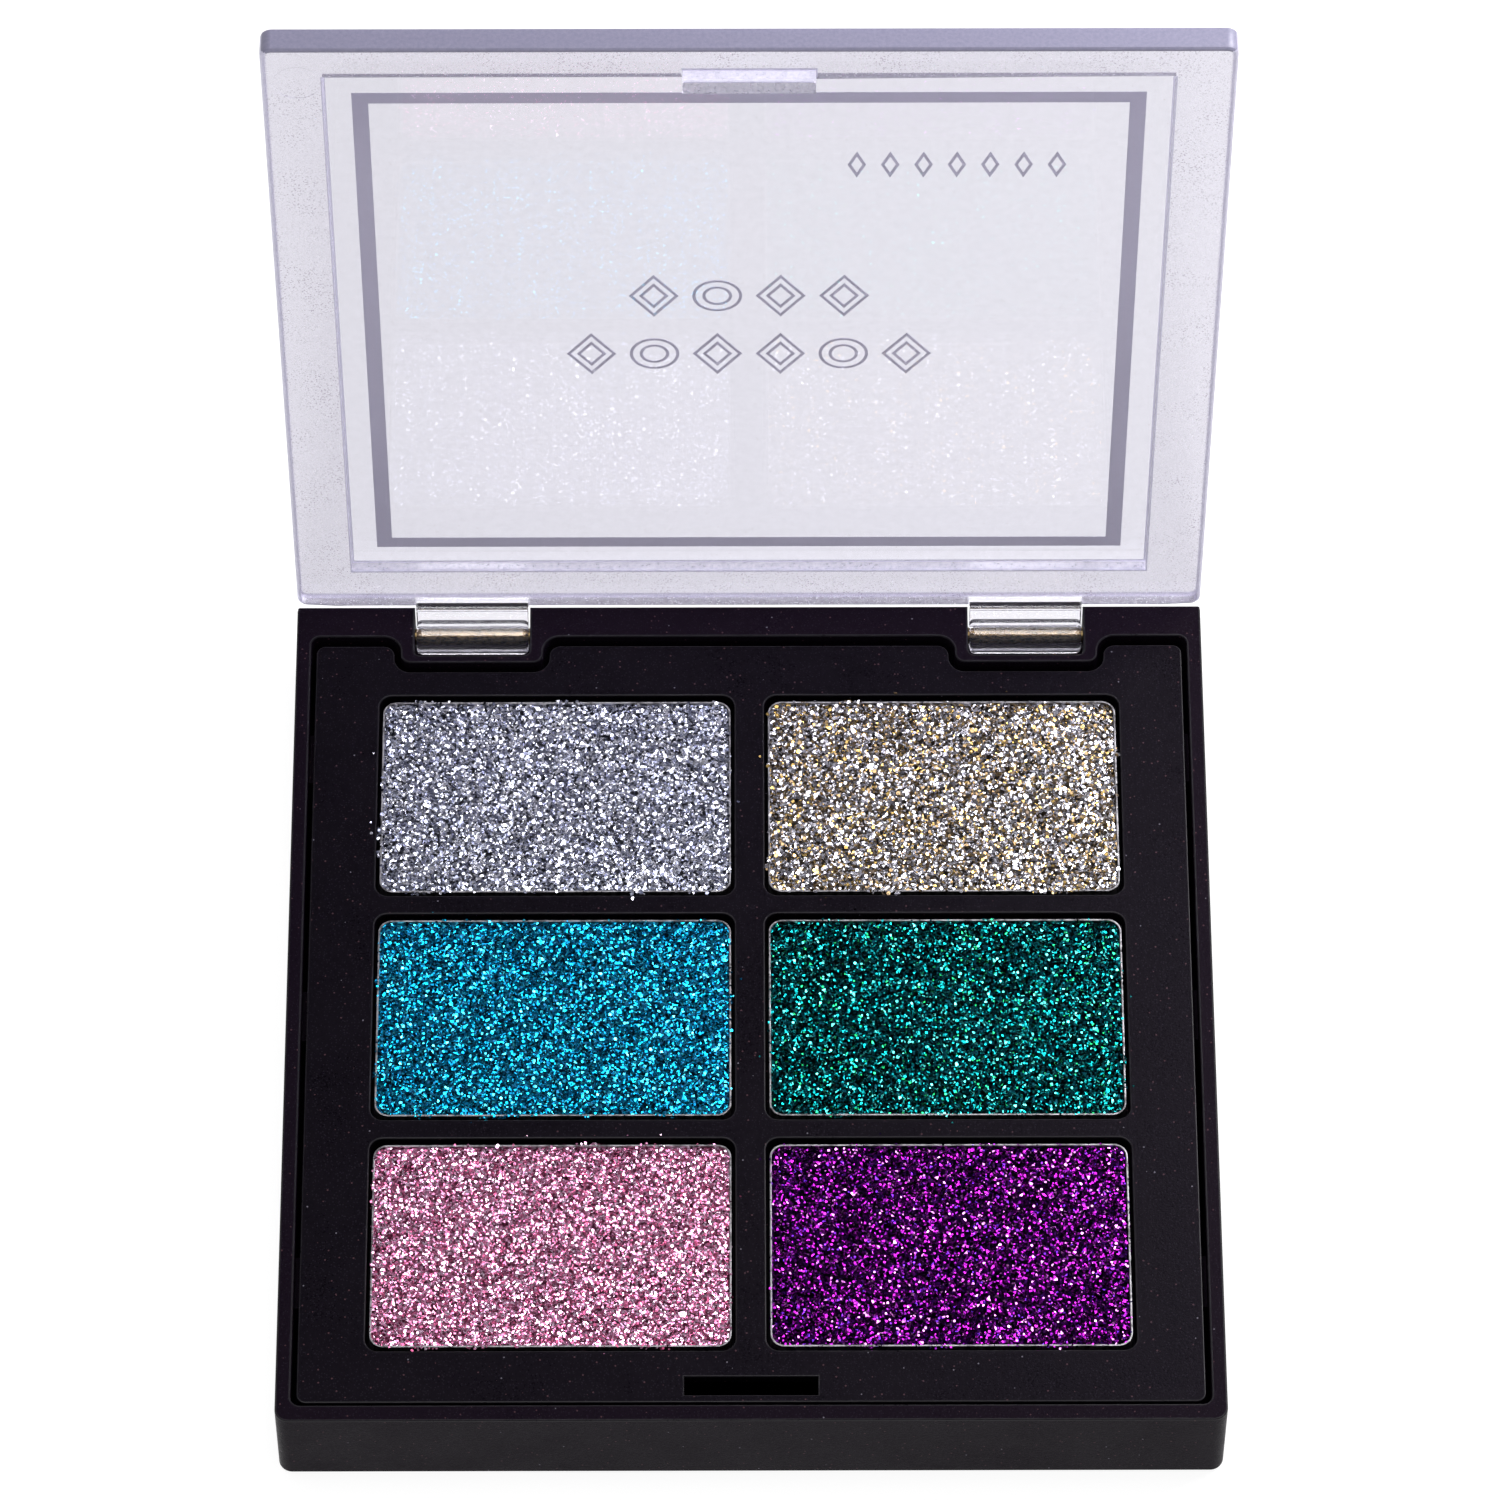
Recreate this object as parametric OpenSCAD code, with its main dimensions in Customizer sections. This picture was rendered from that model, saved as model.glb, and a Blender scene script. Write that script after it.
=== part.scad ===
// Six-pan eyeshadow palette: a black two-part case, six pans of pressed glitter and a clear hinged lid.
// Frame: origin at the centre of the case's underside, +X to the right, +Y to the hinge side, +Z up.
// The lid is drawn open, resting on its stop.

/* [Case] */
// Width of the case, left to right
case_w = 98; // [94:1:110]
// Depth of the case, front to back
case_d = 99.3; // [98:0.1:106]
// Height of the case, from the table to the rim
case_h = 11.5; // [11:0.1:14]
// Thickness of the side walls
side_wall = 1.6; // [1.4:0.1:1.8]
// Thickness of the front wall
front_wall = 1.85; // [1.6:0.05:2]
// Width of the strip behind the tray, over the hinge line
rear_strip = 3.9; // [3.7:0.1:4.2]
// Thickness of the floor
floor_t = 1.2; // [1:0.1:1.5]
// Corner radius of the case's plan at the front
front_corner_r = 1.4; // [1:0.1:2]
// Corner radius of the case's plan at the hinge side
rear_corner_r = 0.6; // [0.4:0.1:0.8]

/* [Insert tray] */
// Depth of the tray's top below the rim
tray_drop = 0.85; // [0.6:0.05:1]
// Groove between the tray and the side walls
side_groove = 0.55; // [0.4:0.05:0.7]
// Groove between the tray and the front wall, the rear strip and the bays
end_groove = 0.68; // [0.5:0.02:0.8]
// Width of one window
window_w = 38.3; // [36:0.1:38.6]
// Depth of one window, front to back
window_d = 25.1; // [23:0.1:25.2]
// Corner radius of a window
window_r = 1.4; // [1:0.1:2]
// Bar between the two columns of windows
column_bar = 3.2; // [2.8:0.1:3.6]
// Bar between two rows of windows
row_bar = 2.25; // [2.1:0.05:2.5]
// Distance from the case's front face to the front row of windows
window_front = 8.55; // [8.4:0.05:9]

/* [Pans] */
// Gap between a window's side edges and the pan
pan_side_gap = 0.4; // [0.2:0.05:0.5]
// Gap between a window's front and rear edges and the pan
pan_end_gap = 0.6; // [0.3:0.05:0.7]
// Corner radius of a pan
pan_r = 1.5; // [1:0.1:2]
// Sheet thickness of a pan
pan_t = 0.2; // [0.2:0.05:0.4]
// Height of a pan
pan_h = 4; // [3:0.1:4.5]
// Depth of a pan's edge below the tray's top
pan_drop = 0.3; // [0.1:0.05:0.5]
// Depth of the pressed cake below the pan's edge
cake_drop = 0.15; // [0.05:0.05:0.4]
// Thickness of the adhesive pad under a pan
glue_t = 0.3; // [0.2:0.05:0.5]

/* [Lid] */
// Thickness of the lid
lid_t = 2.9; // [2.6:0.1:3.2]
// How far the closed lid's front edge stands behind the case's front face
lid_setback = 0.4; // [0.3:0.1:0.6]
// How far the closed lid's rear edge stands in front of the case's rear face
lid_heel = 4.5; // [4.4:0.1:4.8]
// Corner radius of the lid's plan
lid_corner_r = 1.2; // [0.8:0.1:2]
// Depth of the pocket in the lid's inner face
pocket_depth = 1.35; // [1:0.05:1.6]
// Width of the pocket's border at the sides
pocket_side = 6.15; // [5.5:0.05:7]
// Width of the pocket's border at the hinge
pocket_rear = 6.35; // [6:0.05:7]
// Width of the pocket's border at the latch
pocket_front = 4.5; // [4.4:0.05:5]
// Angle of the open lid, measured from closed
open_angle = 93.4; // [91:0.1:94]

/* [Latch] */
// Width of the tab
tab_w = 13.4; // [10:0.1:15]
// Thickness of the tab
tab_t = 1.65; // [1.2:0.05:1.7]
// How far the tab stands out of the lid's inner face
tab_h = 1.75; // [1.4:0.05:1.9]
// Distance from the lid's front edge to the tab
tab_front = 3.2; // [3.15:0.05:3.35]
// Distance from the case's front face to the slot
slot_front = 3.4; // [3.3:0.05:3.45]
// Front-to-back size of the slot
slot_d = 2.1; // [2.05:0.05:2.2]
// Clearance beside the tab in its slot
slot_side_gap = 0.2; // [0.1:0.05:0.3]

/* [Hinge] */
// Distance of the pin's axis from the case's rear face
pin_inset = 2.3; // [2.2:0.05:2.4]
// Depth of the pin's axis below the rim
pin_drop = 2.5; // [2.45:0.05:2.6]
// Diameter of a pin
pin_d = 1.8; // [1.4:0.1:1.8]
// Radial clearance of a pin in its knuckle
pin_clearance = 0.05; // [0.02:0.01:0.08]
// Length of pin held in each cheek of a bay
pin_seat = 2.6; // [2:0.1:3]
// Radius of a knuckle's barrel
barrel_r = 1.95; // [1.8:0.05:2]
// Thickness of a knuckle's arm
arm_t = 1.5; // [1.3:0.1:1.6]
// How far a knuckle's arm reaches in front of the pin
arm_reach = 3.7; // [3.5:0.05:3.75]
// Distance of each bay from the middle of the case
bay_x = 30; // [24:0.5:31]
// Clear width of a bay
bay_w = 12.5; // [10:0.5:14]
// Clear depth of a bay, from the case's rear face
bay_d = 6.25; // [6.2:0.05:6.35]
// Side gap between a knuckle and its bay
knuckle_gap = 0.18; // [0.1:0.02:0.3]
// Thickness of the wall around a bay
bay_wall = 0.95; // [0.9:0.05:1.1]
// Thickness of the cheeks beside a bay
bay_cheek = 1.45; // [1.2:0.05:1.7]

/* [Print] */
// Width of the printed border line
border_line = 1.66; // [1:0.05:2]
// Distance from the lid's side edge to the printed border
border_side = 8.85; // [8.6:0.05:10]
// Distance from the lid's hinge edge to the printed border
border_rear = 8; // [7.5:0.1:9]
// Distance from the lid's front edge to the printed border
border_front = 9.4; // [8.6:0.1:10]
// Thickness of the ink
ink_t = 0.04; // [0.03:0.01:0.08]
// Width of a thin rule in the ornament
rule_w = 0.34; // [0.3:0.02:0.5]

/* [Hidden] */
COLOURS = ["silver", "champagne", "turquoise", "emerald", "pink", "purple"];
CAKE_COLOURS = ["#b4b4be", "#c9bd98", "#1492b6", "#0b7d68", "#d98aa8", "#5a1289"];
$fn = 64;
eps = 0.01;

// Case
front_y = -case_d / 2;
rear_y = case_d / 2;
rear_wall = 1.6;
strip_t = 2.2;
inner_corner_r = 1;
rear_edge_r = 0.4;
rib_t = 1;
rib_offset = 9.5;
pad_w = 6;
pad_spacing = 32;
pad_slack = 0.05;
pad_top = case_h - 3;

// Bays
bay_corner_r = 0.65;
bay_outer_r = 1.1;
bay_flare_r = 1.9;
cheek_block = pin_seat + 0.8;

// Tray
tray_top = case_h - tray_drop;
tray_t = 1.2;
skirt_t = 0.8;
skirt_h = 5;
well_wall = 0.8;
well_floor = 1;

// Pans, from the top down
pan_top = tray_top - pan_drop;
cake_top = pan_top - cake_drop;
pan_bottom = pan_top - pan_h;
glue_bottom = pan_bottom - glue_t;
well_bottom = glue_bottom - well_floor;
pan_w = window_w - 2 * pan_side_gap;
pan_d = window_d - 2 * pan_end_gap;
glue_margin = 4;

// Hinge, in a frame with its origin on the pin's axis and the lid closed
knuckle_w = bay_w - 2 * knuckle_gap;
heel_y = pin_inset - lid_heel;
lid_len = case_d - lid_heel - lid_setback;
heel_corner_r = 0.5;
arm_corner_r = 0.4;
barrel_end_r = 0.65;
bore_d = pin_d + 2 * pin_clearance;
pin_chamfer = 0.15;
// The open knuckle's flat heel comes down on the sill of its bay, which is the lid's stop
stop_gap = 0.03;
stop_reach = (pin_inset - barrel_r * cos(open_angle)) / sin(open_angle);
stop_drop = barrel_r * sin(open_angle) - stop_reach * cos(open_angle) + stop_gap;
sill_z = case_h - pin_drop - stop_drop;

// Latch
bead_r = 0.2;
bead_stand = 0.14;

// Shallow round mark left by an ejector pin, on the inner face of the lid's border
ejector_d = 4.8;
ejector_side = 3.6;
ejector_front = 5.2;
ejector_depth = 0.05;

// Ornament: rows of doubled lozenges and rings
lozenge_h = 7;
lozenge_w = 5.2;
lozenge_pitch = 6.6;
lozenge_inset = 1.05;
title_row_y = [42, 51.8];
title_row_n = [6, 4];
mark_y = 73.4;
mark_x = 21.2;
mark_n = 7;
mark_h = 4.2;
mark_w = 1.9;
mark_pitch = 3.4;

function column_x(i) = (i % 2 - 0.5) * (window_w + column_bar);
function row_y(i) = front_y + window_front + window_d / 2 + (2 - floor(i / 2)) * (window_d + row_bar);

// Rectangle about the origin with one radius at its front corners and another at its rear corners
module plan(w, d, front_r, rear_r) {
  for (side = [-1, 1]) {
    translate([side * (w / 2 - front_r), front_r - d / 2]) circle(front_r);
    translate([side * (w / 2 - rear_r), d / 2 - rear_r]) circle(rear_r);
  }
  translate([-w / 2, front_r - d / 2]) square([w, d - front_r - rear_r]);
  translate([front_r - w / 2, -d / 2]) square([w - 2 * front_r, d / 2]);
  translate([rear_r - w / 2, 0]) square([w - 2 * rear_r, d / 2]);
}

// Repeats its children at both bays, with the origin on the case's rear face
module at_bays() {
  for (side = [-1, 1]) translate([side * bay_x, rear_y]) children();
}

// Repeats its children in the closed lid's place or, with an angle, swung open about the pins
module on_hinge(angle = 0) {
  translate([0, rear_y - pin_inset, case_h - pin_drop]) rotate([-angle, 0, 0]) children();
}

// Outline of the wall round a bay, grown by g, with flared feet where it leaves the rear strip
module bay_surround(g) {
  w = bay_w + 2 * (bay_cheek + g);
  d = bay_d + bay_wall + g;
  r = bay_outer_r + g;
  flare = bay_flare_r - g;
  translate([-w / 2, r - d]) square([w, d - r]);
  translate([r - w / 2, -d]) square([w - 2 * r, d]);
  for (side = [0, 1]) mirror([side, 0]) {
    translate([w / 2 - r, r - d]) circle(r);
    translate([w / 2, -rear_strip - g]) difference() {
      translate([-eps, -flare]) square([flare + eps, flare + eps]);
      translate([flare, -flare]) circle(flare);
    }
  }
}

// Clear opening of a bay, with rounded corners at its closed end
module bay_opening() {
  r = bay_corner_r;
  translate([-bay_w / 2, r - bay_d]) square([bay_w, bay_d]);
  translate([r - bay_w / 2, -bay_d]) square([bay_w - 2 * r, bay_d]);
  for (side = [-1, 1]) translate([side * (bay_w / 2 - r), r - bay_d]) circle(r);
}

// Space inside the case's walls, in front of the rear strip
module case_inside() {
  w = case_w - 2 * side_wall;
  d = case_d - front_wall - rear_strip;
  difference() {
    translate([0, (front_wall - rear_strip) / 2]) plan(w, d, inner_corner_r, inner_corner_r);
    at_bays() bay_surround(0);
  }
}

// Space under the rear strip, between the blocks that hold the pins
module strip_inside() {
  block_w = bay_w + 2 * cheek_block;
  difference() {
    translate([side_wall - case_w / 2, rear_y - rear_strip - eps])
      square([case_w - 2 * side_wall, rear_strip - rear_wall + eps]);
    at_bays() {
      bay_surround(0);
      translate([-block_w / 2, -rear_strip]) square([block_w, rear_strip]);
    }
  }
}

// Low pads inside the walls that centre the tray
module tray_pads() {
  side_pad = side_groove - pad_slack;
  front_pad = end_groove - pad_slack;
  for (side = [-1, 1], k = [-1:1]) {
    translate([side * (case_w / 2 - side_wall - side_pad / 2), k * pad_spacing, (floor_t + pad_top) / 2])
      cube([side_pad, pad_w, pad_top - floor_t], center = true);
  }
  for (k = [-1:1]) {
    translate([k * pad_spacing, front_y + front_wall + front_pad / 2, (floor_t + pad_top) / 2])
      cube([pad_w, front_pad, pad_top - floor_t], center = true);
  }
}

// Ribs on the floor that carry the wells
module floor_ribs() {
  rib_len = 3 * window_d + 2 * row_bar;
  for (side = [-1, 1], k = [-1, 1]) {
    rib_x = side * (window_w + column_bar) / 2 + k * rib_offset;
    translate([rib_x - rib_t / 2, front_y + window_front, floor_t - eps])
      cube([rib_t, rib_len, well_bottom - floor_t + eps]);
  }
}

// Cutter that rounds the top edge of the rear wall, so that the lid's heel clears it
module rear_edge_cutter() {
  r = rear_edge_r;
  difference() {
    translate([-case_w, rear_y - r, case_h - r]) cube([2 * case_w, 2 * r, 2 * r]);
    translate([0, rear_y - r, case_h - r]) rotate([0, 90, 0]) cylinder(r = r, h = 3 * case_w, center = true);
  }
}

module base_case() {
  color("#211d20") difference() {
    union() {
      difference() {
        linear_extrude(case_h) plan(case_w, case_d, front_corner_r, rear_corner_r);
        translate([0, 0, floor_t]) linear_extrude(case_h) case_inside();
        translate([0, 0, floor_t]) linear_extrude(case_h - floor_t - strip_t) strip_inside();
      }
      tray_pads();
      floor_ribs();
    }
    at_bays() translate([0, 0, sill_z]) linear_extrude(case_h) bay_opening();
    on_hinge() for (side = [-1, 1]) translate([side * bay_x, 0, 0]) rotate([0, 90, 0])
      cylinder(d = pin_d, h = bay_w + 2 * pin_seat, center = true);
    rear_edge_cutter();
  }
}

// Outline of the tray, shrunk by g
module tray_plan(g) {
  w = case_w - 2 * (side_wall + side_groove + g);
  d = case_d - front_wall - rear_strip - 2 * (end_groove + g);
  r = max(inner_corner_r - g, 0.2);
  difference() {
    translate([0, (front_wall - rear_strip) / 2]) plan(w, d, r, r);
    at_bays() bay_surround(end_groove + g);
  }
}

module window_plan(grow) {
  plan(window_w + 2 * grow, window_d + 2 * grow, window_r + grow, window_r + grow);
}

module insert_tray() {
  color("#242022") difference() {
    union() {
      translate([0, 0, tray_top - tray_t]) linear_extrude(tray_t) tray_plan(0);
      translate([0, 0, tray_top - skirt_h]) linear_extrude(skirt_h) difference() {
        tray_plan(0);
        tray_plan(skirt_t);
      }
      for (i = [0:5]) translate([column_x(i), row_y(i), well_bottom])
        linear_extrude(tray_top - well_bottom) window_plan(well_wall);
    }
    for (i = [0:5]) translate([column_x(i), row_y(i), glue_bottom]) linear_extrude(case_h) window_plan(0);
    translate([-tab_w / 2 - slot_side_gap, front_y + slot_front, tray_top - tray_t - eps])
      cube([tab_w + 2 * slot_side_gap, slot_d, case_h]);
  }
}

// Inner outline of a pan, which its cake fills
module pan_inside() {
  plan(pan_w - 2 * pan_t, pan_d - 2 * pan_t, pan_r - pan_t, pan_r - pan_t);
}

module pan(i) {
  color("#c8c8cc") translate([column_x(i), row_y(i), pan_bottom]) difference() {
    linear_extrude(pan_h) plan(pan_w, pan_d, pan_r, pan_r);
    translate([0, 0, pan_t]) linear_extrude(pan_h) pan_inside();
  }
}

module cake(i) {
  color(CAKE_COLOURS[i]) translate([column_x(i), row_y(i), pan_bottom + pan_t])
    linear_extrude(cake_top - pan_bottom - pan_t) pan_inside();
}

module glue(i) {
  color("#d8d2b8") translate([column_x(i), row_y(i), glue_bottom]) linear_extrude(glue_t)
    plan(pan_w - 2 * glue_margin, pan_d - 2 * glue_margin, pan_r, pan_r);
}

module hinge_pin(side) {
  half = bay_w / 2 + pin_seat;
  color("#b5923e") on_hinge() translate([side * bay_x, 0, 0]) rotate([0, 90, 0]) rotate_extrude()
    polygon([[0, -half], [pin_d / 2 - pin_chamfer, -half], [pin_d / 2, pin_chamfer - half],
             [pin_d / 2, half - pin_chamfer], [pin_d / 2 - pin_chamfer, half], [0, half]]);
}

// Barrel of a knuckle about the pin's axis, along X, with rounded ends
module knuckle_barrel() {
  half = knuckle_w / 2;
  r = barrel_end_r;
  rotate([0, 90, 0]) rotate_extrude() {
    translate([0, r - half]) square([barrel_r, 2 * (half - r)]);
    translate([0, -half]) square([barrel_r - r, 2 * half]);
    for (end = [-1, 1]) translate([barrel_r - r, end * (half - r)]) circle(r);
  }
}

// Side view of a knuckle's square heel, behind the barrel, and its arm, in front, both rooted in the lid
module knuckle_profile() {
  square([barrel_r - heel_corner_r, pin_drop]);
  square([barrel_r, pin_drop - heel_corner_r]);
  translate([barrel_r - heel_corner_r, pin_drop - heel_corner_r]) circle(heel_corner_r);
  translate([-arm_reach, pin_drop - arm_t + arm_corner_r]) square([arm_reach, arm_t - arm_corner_r]);
  translate([arm_corner_r - arm_reach, pin_drop - arm_t]) square([arm_reach, arm_t]);
  translate([arm_corner_r - arm_reach, pin_drop - arm_t + arm_corner_r]) circle(arm_corner_r);
  translate([-arm_reach, pin_drop - eps]) square([arm_reach + heel_y, lid_t / 2]);
}

// Plate of the lid with its pocket and its ejector mark, closed, in the hinge's frame
module lid_plate() {
  pocket_w = case_w - 2 * pocket_side;
  pocket_len = lid_len - pocket_rear - pocket_front;
  difference() {
    translate([0, heel_y - lid_len / 2, pin_drop]) linear_extrude(lid_t)
      plan(case_w, lid_len, lid_corner_r, lid_corner_r);
    translate([-pocket_w / 2, heel_y - pocket_rear - pocket_len, pin_drop - eps])
      cube([pocket_w, pocket_len, pocket_depth + eps]);
    translate([ejector_side - case_w / 2, heel_y - lid_len + ejector_front, pin_drop - eps])
      cylinder(d = ejector_d, h = ejector_depth + eps);
  }
}

// Latch tab with its bead, closed, in the hinge's frame
module latch_tab() {
  tab_y = heel_y - lid_len + tab_front;
  translate([-tab_w / 2, tab_y, pin_drop - tab_h]) cube([tab_w, tab_t, tab_h + pocket_depth + eps]);
  translate([0, tab_y + bead_r - bead_stand, pin_drop - tab_h + bead_r]) rotate([0, 90, 0])
    cylinder(r = bead_r, h = tab_w - 2 * bead_r, center = true);
}

module lid_shell() {
  color("#d9d7e8", 0.4) on_hinge(open_angle) difference() {
    union() {
      lid_plate();
      latch_tab();
      for (side = [-1, 1]) translate([side * bay_x, 0, 0]) {
        knuckle_barrel();
        rotate([90, 0, 90]) linear_extrude(knuckle_w, center = true) knuckle_profile();
      }
    }
    for (side = [-1, 1]) translate([side * bay_x, 0, 0]) rotate([0, 90, 0])
      cylinder(d = bore_d, h = bay_w, center = true);
  }
}

// Lays flat artwork on the lid's outer face. Its origin is the middle of the hinge edge, +Y to the latch.
module ink() {
  color("#9a96a6") on_hinge(open_angle) translate([0, heel_y, pin_drop + lid_t])
    mirror([0, 1, 0]) linear_extrude(ink_t) children();
}

module printed_frame() {
  w = case_w - 2 * border_side;
  h = lid_len - border_rear - border_front;
  ink() translate([-w / 2, border_rear]) difference() {
    square([w, h]);
    translate([border_line, border_line]) square([w - 2 * border_line, h - 2 * border_line]);
  }
}

module lozenge(w, h) {
  polygon([[-w / 2, 0], [0, -h / 2], [w / 2, 0], [0, h / 2]]);
}

module lozenge_line(w, h) {
  slant = sqrt(w * w + h * h);
  difference() {
    lozenge(w, h);
    lozenge(w - 2 * rule_w * slant / h, h - 2 * rule_w * slant / w);
  }
}

module ring_line(d) {
  difference() {
    circle(d = d);
    circle(d = d - 2 * rule_w);
  }
}

// One figure of the ornament: a doubled lozenge, or a doubled ring in every third place
module figure(k) {
  if (k % 3 == 1) {
    ring_line(lozenge_w);
    ring_line(lozenge_w - 2 * lozenge_inset);
  } else {
    lozenge_line(lozenge_w, lozenge_h);
    lozenge_line(lozenge_w - 2 * lozenge_inset, lozenge_h - 2 * lozenge_inset * lozenge_h / lozenge_w);
  }
}

module printed_ornament() {
  ink() {
    for (row = [0, 1], k = [0:title_row_n[row] - 1])
      translate([(k - (title_row_n[row] - 1) / 2) * lozenge_pitch, title_row_y[row]]) figure(k);
    for (k = [0:mark_n - 1])
      translate([mark_x + (k - (mark_n - 1) / 2) * mark_pitch, mark_y]) lozenge_line(mark_w, mark_h);
  }
}

base_case();
insert_tray();
for (i = [0:5]) {
  pan(i);
  cake(i);
  glue(i);
}
hinge_pin(-1);  // hinge_pin_left
hinge_pin(1);  // hinge_pin_right
lid_shell();
printed_frame();
printed_ornament();
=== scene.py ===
"""Looks of the six-pan glitter palette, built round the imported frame. Lengths are in metres."""

from math import cos, pi, radians, sin

import bmesh
import bpy
import numpy as np
from mathutils import Matrix, Vector


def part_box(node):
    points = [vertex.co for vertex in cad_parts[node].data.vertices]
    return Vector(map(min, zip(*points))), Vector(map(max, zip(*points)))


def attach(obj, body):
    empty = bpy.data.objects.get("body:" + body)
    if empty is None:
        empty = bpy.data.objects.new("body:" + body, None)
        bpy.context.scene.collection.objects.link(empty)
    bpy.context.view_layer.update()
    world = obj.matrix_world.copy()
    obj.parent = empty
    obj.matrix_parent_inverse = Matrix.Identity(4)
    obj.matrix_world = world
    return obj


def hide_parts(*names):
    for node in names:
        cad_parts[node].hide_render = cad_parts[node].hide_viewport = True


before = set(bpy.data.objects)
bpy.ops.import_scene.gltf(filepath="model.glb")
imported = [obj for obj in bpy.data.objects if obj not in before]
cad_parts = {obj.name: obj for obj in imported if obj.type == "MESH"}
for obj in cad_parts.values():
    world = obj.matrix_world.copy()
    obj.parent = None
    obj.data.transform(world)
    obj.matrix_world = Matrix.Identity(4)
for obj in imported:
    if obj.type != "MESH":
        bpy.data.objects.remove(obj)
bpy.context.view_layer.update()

MM = 0.001
COLOURS = ("silver", "champagne", "turquoise", "emerald", "pink", "purple")

# Camera: a long lens, looking down at the open palette
LENS_MM = 210.9
CAMERA_AT = (-0.0017, -0.4654, 0.8150)
CAMERA_PITCH = radians(58.28)
CAMERA_YAW = radians(-0.205)
CAMERA_ROLL = radians(0.066)

# Edge rounding, in metres
RIM_ROUND = 0.2 * MM
TRAY_ROUND = 0.15 * MM
LID_ROUND = 0.18 * MM
OUTLINE_ROUND = 0.45 * MM
PAN_ROUND = 0.05 * MM
PLANE_SLACK = 0.01 * MM
SHARP = radians(35)
SMOOTH_UNDER = radians(28)
BEVEL_STEPS = 3

# Places that the frame gives
CASE_LOW, CASE_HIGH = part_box("base_case")
TRAY_LOW, TRAY_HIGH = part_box("insert_tray")
LID_LOW, LID_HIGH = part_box("lid_shell")

# Sizes of the design that its boxes don't give
PAN_T = 0.2 * MM
PAN_CORNER = 1.3 * MM
LID_LEAN = radians(3.4)
LID_T = 2.9 * MM
LID_LEN = 94.4 * MM
LID_CORNER = 1.2 * MM
POCKET_DEPTH = 1.35 * MM
KNUCKLE_X = 20 * MM
EDGE_WIDTH = 1.2 * OUTLINE_ROUND

# How far the plastic reaches into the ink, so that no air lies between them
INK_BOND = 0.01 * MM

# How far the rim stays under the closed lid, so that their faces don't coincide
RIM_GAP = 0.02 * MM

# The cosine between a face's normal and the lid's: above FLAT the face is flat, above SLANTED it is part of a
# rounded edge, and under UPRIGHT it counts as a wall when its height is measured
FLAT = 0.97
SLANTED = 0.2
UPRIGHT = 0.5


# ---------------------------------------------------------------- node materials

class Look:
    """A node material: one Principled shader, and helpers that add the nodes that drive it."""

    def __init__(self, name, **constants):
        self.material = bpy.data.materials.new(name)
        self.material.use_nodes = True
        self.tree = self.material.node_tree
        self.tree.nodes.clear()
        self.output = self.tree.nodes.new("ShaderNodeOutputMaterial")
        self.shader = self.node("ShaderNodeBsdfPrincipled", inputs=constants)
        self.place = self.node("ShaderNodeTexCoord").outputs["Object"]
        self.link(self.shader.outputs[0], self.output.inputs["Surface"])

    def node(self, kind, inputs=None, **settings):
        made = self.tree.nodes.new(kind)
        for key, value in settings.items():
            setattr(made, key, value)
        for key, value in (inputs or {}).items():
            if isinstance(value, bpy.types.NodeSocket):
                self.link(value, made.inputs[key])
            else:
                made.inputs[key].default_value = value
        return made

    def link(self, source, target):
        self.tree.links.new(source, target)

    def drive(self, socket_name, source):
        self.link(source, self.shader.inputs[socket_name])

    def noise(self, size, detail=2.0, roughness=0.5, place=None):
        """Soft noise whose blotches are about size metres across."""
        inputs = {"Vector": place or self.place, "Scale": 1 / size, "Detail": detail, "Roughness": roughness}
        return self.node("ShaderNodeTexNoise", inputs).outputs["Fac"]

    def cells(self, size):
        """Distance from the nearest of random points about size metres apart, as a share of size."""
        inputs = {"Vector": self.place, "Scale": 1 / size}
        return self.node("ShaderNodeTexVoronoi", inputs).outputs["Distance"]

    def remap(self, value, low, high, to_low, to_high):
        inputs = {"Value": value, 1: low, 2: high, 3: to_low, 4: to_high}
        return self.node("ShaderNodeMapRange", inputs).outputs[0]

    def maths(self, operation, a, b=0.0):
        return self.node("ShaderNodeMath", {0: a, 1: b}, operation=operation).outputs[0]

    def bands(self, value, stops):
        """Colour bands with hard borders, from (start, colour) pairs."""
        made = self.node("ShaderNodeValToRGB", {"Fac": value})
        made.color_ramp.interpolation = "CONSTANT"
        elements = made.color_ramp.elements
        while len(elements) < len(stops):
            elements.new(1.0)
        for element, (at, colour) in zip(elements, stops):
            element.position = at
            element.color = (*colour, 1.0)
        return made.outputs["Color"]

    def mix(self, factor, a, b):
        made = self.node("ShaderNodeMix", data_type="RGBA")
        for socket, value in zip((made.inputs["Factor"], made.inputs[6], made.inputs[7]), (factor, a, b)):
            if isinstance(value, bpy.types.NodeSocket):
                self.link(value, socket)
            else:
                socket.default_value = value if isinstance(value, float) else (*value, 1.0)
        return made.outputs[2]

    def bump(self, height, depth):
        """Bump of a height field that runs from 0 to 1, depth metres deep."""
        inputs = {"Height": height, "Distance": depth, "Strength": 1.0}
        self.drive("Normal", self.node("ShaderNodeBump", inputs).outputs["Normal"])


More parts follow.
